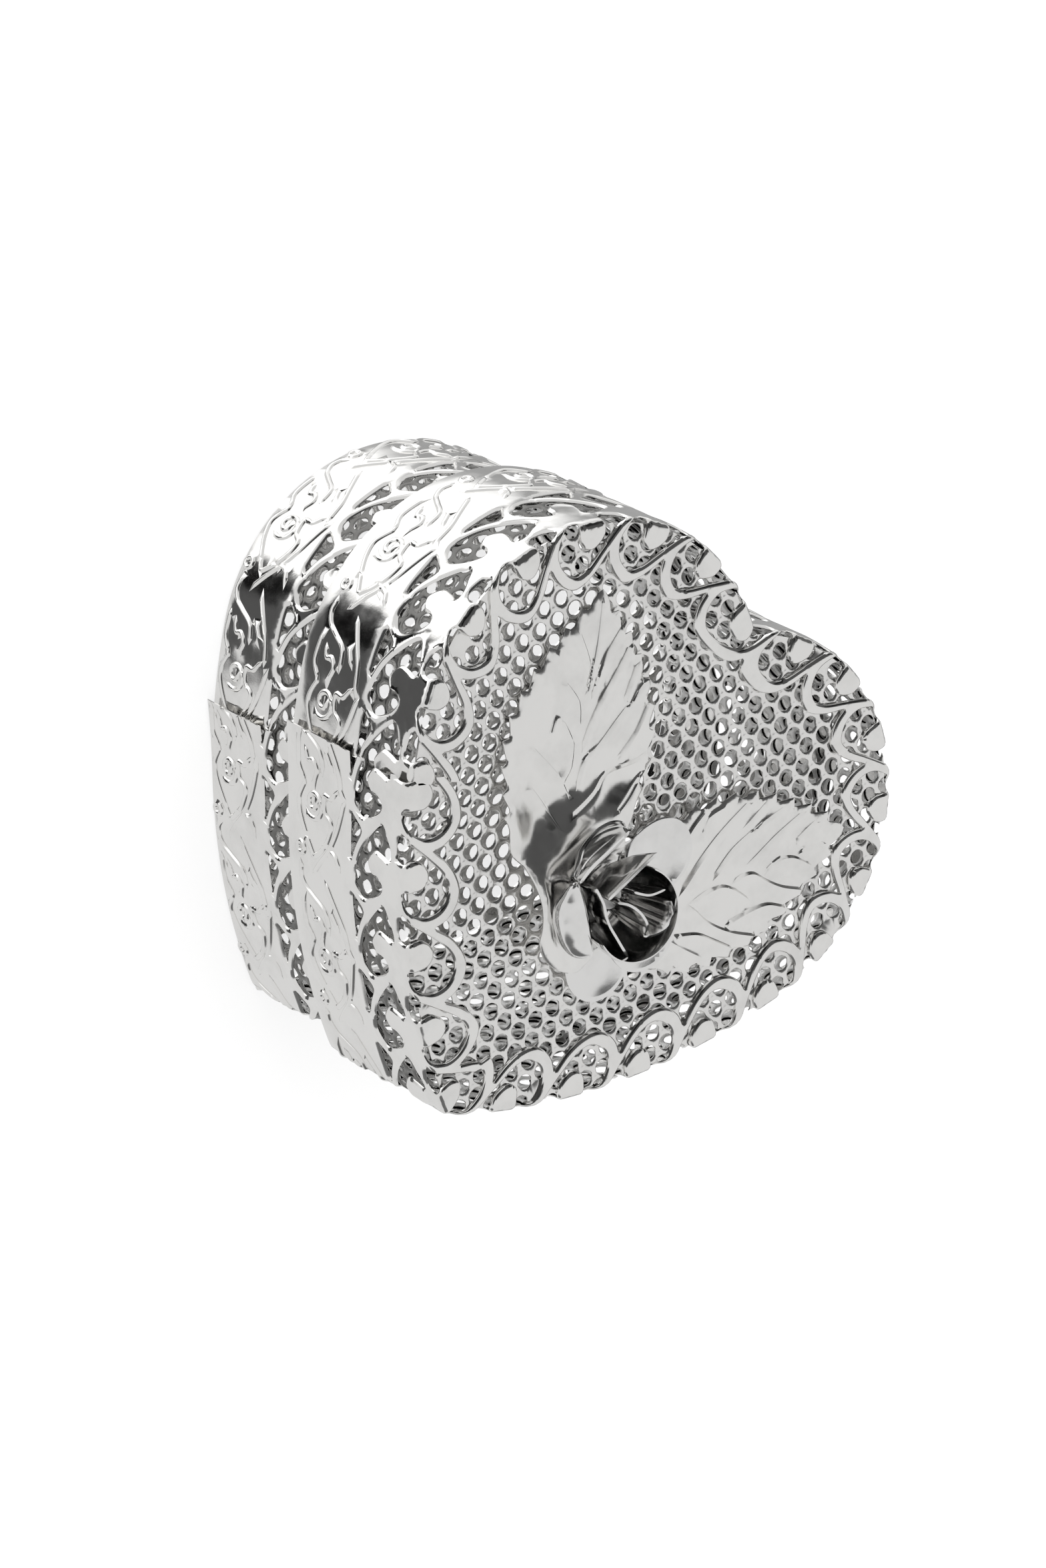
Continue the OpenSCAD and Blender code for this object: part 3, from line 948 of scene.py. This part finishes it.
def disc_petal(direction, seed):
    """Flat outer petal, gently dished, with a slightly uneven round edge."""
    a = np.linspace(0, 2 * math.pi, 64, endpoint=False)
    rng = np.random.default_rng(seed)
    wobble = 1 - 0.02 * (1 + np.cos(2 * a + rng.uniform(0, 6)))
    wobble -= 0.012 * (1 + np.cos(3 * a + rng.uniform(0, 6)))
    aim = math.radians(direction)
    middle = ROSE + PETAL_OUT * np.array([math.cos(aim), math.sin(aim)])
    loop = middle + PETAL_R * wobble[:, None] * np.c_[np.cos(a), np.sin(a)]
    grid = [middle + r * np.array([math.cos(t), math.sin(t)])
            for r in (0.6, 1.3, 2.0, 2.7, 3.3, 3.7) for t in np.arange(0, 2 * math.pi, 0.7 / r)]

    def height(p):
        out = np.hypot(*(p - middle).T) / PETAL_R
        return OUTER_Z + PETAL_LIFT + PETAL_DISH * out ** 2 * soft_step((from_rose(p) - 5) / 4)

    return foil_sheet(f"rose_flat_petal_{direction}", loop, np.array(grid), height, rose_metal)


def edge_line(line, levels, n):
    """A smooth line through a few places, with levels spread along it, as n evenly spaced points."""
    curve = smooth_curve(line, step=0.1)
    pieces = np.hypot(*np.diff(curve, axis=0).T)
    run = np.r_[0, np.cumsum(pieces)] / pieces.sum()
    t = np.linspace(0, 1, n)
    level = np.interp(t, np.linspace(0, 1, len(levels)), levels)
    return np.c_[np.interp(t, run, curve[:, 0]), np.interp(t, run, curve[:, 1]), level]


def spoon_petal(outer, outer_z, rim, rim_z, sag, roll_r):
    """Dished petal between a thin outer edge and a rim rolled over towards the rose."""
    n = 30
    rows = []
    for t, far, near in zip(np.linspace(0, 1, n), edge_line(outer, outer_z, n), edge_line(rim, rim_z, n)):
        full = max(math.sin(math.pi * t), 0.02) ** 0.6
        line = [far + (near - far) * v + np.array(sag) * full * math.sin(math.pi * v)
                for v in np.linspace(0, 1, 14)]
        across = (near - far) * [1, 1, 0]
        across /= max(np.linalg.norm(across), 1e-6)
        r = roll_r * (0.35 + 0.65 * full)
        line += [near + across * r * math.sin(a) + [0, 0, -r * (1 - math.cos(a))]
                 for a in np.radians(np.linspace(0, ROLL_DEG, 10))[1:]]
        rows.append(line)
    return shell_points(np.array(rows), FOIL)


def standing_strip(top, top_z, foot_share, foot_z, bulge=0.0, thick=FOIL):
    """Upright sheet under a top edge. Its foot is the same line drawn in to the rose's axis."""
    curve = smooth_curve(top, step=0.4)
    heights = np.interp(np.linspace(0, 1, len(curve)), np.linspace(0, 1, len(top_z)), top_z)
    rows = []
    for p, z in zip(curve, heights):
        line = []
        for v in np.linspace(0, 1, 12):
            share = foot_share + (1 - foot_share) * v + bulge * math.sin(math.pi * v)
            at = CUP + (p - CUP) * share
            line.append((at[0], at[1], foot_z + (z - foot_z) * v))
        rows.append(line)
    return shell_points(np.array(rows), thick)


def cup_wall():
    """The open cup: wider and a little lower away from its highest place."""
    rows = []
    for a in np.radians(np.linspace(-112, 104, 60)):
        top = CUP_TOP - CUP_DIP * (1 - math.cos(a + 0.4))
        line = []
        for v in np.linspace(0, 1, 14):
            r = CUP_FOOT_R + (CUP_R - CUP_FOOT_R) * math.sin(v * math.pi / 2) ** 0.8
            at = CUP + r * np.array([math.cos(a), math.sin(a)])
            line.append((at[0], at[1], CUP_FLOOR + (top - CUP_FLOOR) * v))
        rows.append(line)
    return shell_points(np.array(rows), FOIL)


first_petal = disc_petal(62, 11)
finish_piece(first_petal, "lid", "rose_foil", "rose_outer_petals")
finish_piece(disc_petal(352, 12), "lid", "rose_foil")
finish_piece(disc_petal(304, 13), "lid", "rose_foil")

LOWER_RIM = [(-7.2, -5.0), (-5.2, -6.2), (-2.5, -8.2), (-.3, -9.9)]
UPPER_RIM = [(-7.0, -4.6), (-6.8, -2.7), (-6.0, -.2), (-5.4, 1.5), (-5.1, 2.6)]
LOWER_OUTER = [(-7.3, -5.4), (-6.4, -6.8), (-5.6, -8.2), (-4.5, -9.3), (-3.0, -10.4), (-1.5, -10.9),
               (-.5, -10.5)]
UPPER_OUTER = [(-7.3, -4.4), (-7.7, -2.8), (-8.2, -1.4), (-8.0, .7), (-7.1, 2.3), (-6.0, 3.0), (-5.2, 2.9)]
RAISED_Z = OUTER_Z + 5.3  # level of the two raised petals' rims
LOWER_LEVELS = RAISED_Z - np.array([0.6, 2.5, 2.8, 2.3, 0.8])
raised = joined(
    "rose_raised_petals",
    spoon_petal(LOWER_OUTER, LOWER_LEVELS, LOWER_RIM, [RAISED_Z] * 2, (-0.6, -0.6, 0.2), 0.55),
    spoon_petal(UPPER_OUTER, [RAISED_Z - 0.8] * 2, UPPER_RIM, [RAISED_Z] * 2, (0.5, -0.1, -2.2), 0.5),
    standing_strip(LOWER_RIM, [RAISED_Z - 1] * 2, 0.45, OUTER_Z + 0.2),
    standing_strip(UPPER_RIM[:4], [RAISED_Z - 1.6] * 2, 0.45, OUTER_Z + 0.2))
finish_piece(raised, "lid", "rose_foil")

CUP_TOP = cup_high[2] - 0.1
CUP_FLOOR = OUTER_Z + 0.5
CUP_R = 4.95  # radius at the top and at the foot
CUP_FOOT_R = 3.0
CUP_DIP = 0.5  # how much lower the lip is away from its highest place
cup = joined(
    "rose_middle_petals_curled",
    cup_wall(),
    standing_strip([(-2.2, 2.3), (-2.9, -1.2), (-3.5, -4.4)], [CUP_TOP, 44.9, 44.4],
                   0.45, CUP_FLOOR, 0.05, 0.6),
    standing_strip([(-6.0, -4.3), (-3.9, -5.1), (-1.6, -6.5), (3.1, -7.9)], [44.7, 44.6, 44.6, 44.2],
                   0.5, CUP_FLOOR, 0.06, 0.6))
finish_piece(cup, "lid", "rose_foil", "rose_middle_petals")
inner = joined(
    "rose_inner_petals_curled",
    standing_strip([(3.6, -.7), (5.0, -1.7), (5.3, -3.2), (4.5, -4.6), (3.6, -5.2)],
                   [44.6, 44.7, 44.5, 44.2, 44.0], 0.5, CUP_FLOOR + 0.3, 0.06, 0.5),
    standing_strip([(-1.0, -2.2), (.9, -1.5), (2.2, -.1)], [44.3, 44.4, 44.5],
                   0.55, CUP_FLOOR + 0.3, 0.05, 0.55))
finish_piece(inner, "lid", "rose_foil", "rose_inner_petals")
bud = joined(
    "rose_bud_rolled",
    standing_strip([(-1.5, -4.0), (-.2, -3.5), (1.7, -3.5), (3.4, -4.1), (3.7, -4.9)],
                   [43.6, 43.9, 44.0, 44.0, 43.8], 0.6, CUP_FLOOR + 0.4, 0.05, 0.6))
finish_piece(bud, "lid", "rose_foil", "rose_bud")

# ---- fasteners keep their CAD shape
for node in ("rose_rivet", "rivet_washer"):
    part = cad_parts[node]
    part.data.materials.clear()
    part.data.materials.append(fastener_metal)

# ---- floor, studio light and camera
FLOOR = 3.0  # half the floor's side, in metres
floor_mesh = bpy.data.meshes.new("floor")
floor_mesh.from_pydata([(-FLOOR, -FLOOR, 0), (FLOOR, -FLOOR, 0), (FLOOR, FLOOR, 0), (-FLOOR, FLOOR, 0)], [],
                       [(0, 1, 2, 3)])
floor = bpy.data.objects.new("floor", floor_mesh)
bpy.context.collection.objects.link(floor)
floor_paint = bpy.data.materials.new("floor_paint")
floor_paint.use_nodes = True
paint = floor_paint.node_tree.nodes["Principled BSDF"]
paint.inputs["Base Color"].default_value = (0.3, 0.3, 0.3, 1)
paint.inputs["Emission Color"].default_value = (1, 1, 1, 1)
paint.inputs["Emission Strength"].default_value = 0.74
paint.inputs["Roughness"].default_value = 0.8
paint.inputs["Specular IOR Level"].default_value = 0.1
floor_mesh.materials.append(floor_paint)
floor.visible_glossy = False

# The camera looks down on the lid, with the heart's point to the lower left
VIEW_AT = (-0.38705, -0.05135, 0.46729)
VIEW_AHEAD = Vector((0.65125, 0.09106, -0.75338)).normalized()
VIEW_RIGHT = VIEW_AHEAD.cross((-0.45755, 0.83914, -0.29409)).normalized()
VIEW_UP = VIEW_RIGHT.cross(VIEW_AHEAD)

world = bpy.data.worlds.new("studio")
world.use_nodes = True
bpy.context.scene.world = world
wn, wl = world.node_tree.nodes, world.node_tree.links
wn.clear()
sky = wn.new("ShaderNodeTexCoord").outputs["Generated"]


def calc(operation, *values):
    """Result of a sum on values, which are numbers or other nodes' results."""
    node = wn.new("ShaderNodeMath")
    node.operation = operation
    for i, value in enumerate(values):
        if isinstance(value, (int, float)):
            node.inputs[i].default_value = value
        else:
            wl.new(value, node.inputs[i])
    return node.outputs[0]


def toward(direction):
    """How nearly a ray goes in a fixed direction: 1 straight along it, 0 across it."""
    node = wn.new("ShaderNodeVectorMath")
    node.operation = "DOT_PRODUCT"
    wl.new(sky, node.inputs[0])
    node.inputs[1].default_value = Vector(direction).normalized()
    return node.outputs["Value"]


def step_up(value, low, high):
    """Smooth rise from 0 to 1 between two values."""
    node = new_node(wn, "MapRange", From_Min=low, From_Max=high)
    node.interpolation_type = "SMOOTHSTEP"
    wl.new(value, node.inputs["Value"])
    return node.outputs["Result"]


def darkened(light, direction, low, high, depth):
    """Light of the studio with a dark patch round a direction."""
    patch = step_up(toward(direction), low, high)
    return calc("MULTIPLY", light, calc("SUBTRACT", 1.0, calc("MULTIPLY", depth, patch)))


# Studio seen in the metal: bright all round, brighter low on one side and greyer low on the other. Dark
# patches lie overhead, past the cleft, past the point, low down (two narrow ones) and round the camera.
below = step_up(toward((0, 0, -1)), 0.0, 0.3)
bright = calc("MULTIPLY", step_up(toward((-0.755, 0.656, 0)), 0.22, 0.42), below)
level = calc("ADD", 0.94, calc("MULTIPLY", 0.75, bright))
shade = calc("MULTIPLY", step_up(toward((0.766, 0.643, 0)), 0.36, 0.56), below)
level = calc("SUBTRACT", level, calc("MULTIPLY", 0.45, shade))
level = darkened(level, (-0.1, 0.5, 0.86), 0.77, 0.84, 0.9)
level = darkened(level, (0.3, 0.85, 0.42), 0.90, 0.95, 0.85)
level = darkened(level, (0.3, -0.9, 0.3), 0.88, 0.95, 0.8)
level = darkened(level, (-0.55, -0.36, -0.76), 0.960, 0.972, 0.88)
level = darkened(level, (-0.66, -0.17, -0.74), 0.986, 0.992, 0.95)
level = darkened(level, -VIEW_AHEAD, 0.82, 0.90, 0.93)
# Only reflections see it. Other rays see an even level.
glossy = wn.new("ShaderNodeLightPath").outputs["Is Glossy Ray"]
level = calc("ADD", calc("MULTIPLY", level, glossy), calc("SUBTRACT", 1.0, glossy))
background = wn.new("ShaderNodeBackground")
wl.new(level, background.inputs["Strength"])
wl.new(background.outputs[0], wn.new("ShaderNodeOutputWorld").inputs[0])


# Soft overhead light, which the metal doesn't mirror
softbox = bpy.data.lights.new("overhead_softbox", "AREA")
softbox.energy = 6.0
softbox.size = 0.9
overhead = bpy.data.objects.new("overhead_softbox", softbox)
overhead.location = (-0.25, 0.35, 0.9)
overhead.rotation_euler = (-overhead.location).to_track_quat("-Z", "Y").to_euler()
overhead.visible_glossy = False
bpy.context.collection.objects.link(overhead)

view_data = bpy.data.cameras.new("view")
view_data.lens = 130.13
view_data.sensor_width = 36
view_data.clip_start = 0.01
view = bpy.data.objects.new("view", view_data)
turned = Matrix((VIEW_RIGHT, VIEW_UP, -VIEW_AHEAD)).transposed().to_4x4()
view.matrix_world = Matrix.Translation(VIEW_AT) @ turned
bpy.context.collection.objects.link(view)
bpy.context.scene.camera = view
bpy.context.scene.view_settings.view_transform = "Standard"
bpy.context.scene.view_settings.look = "None"
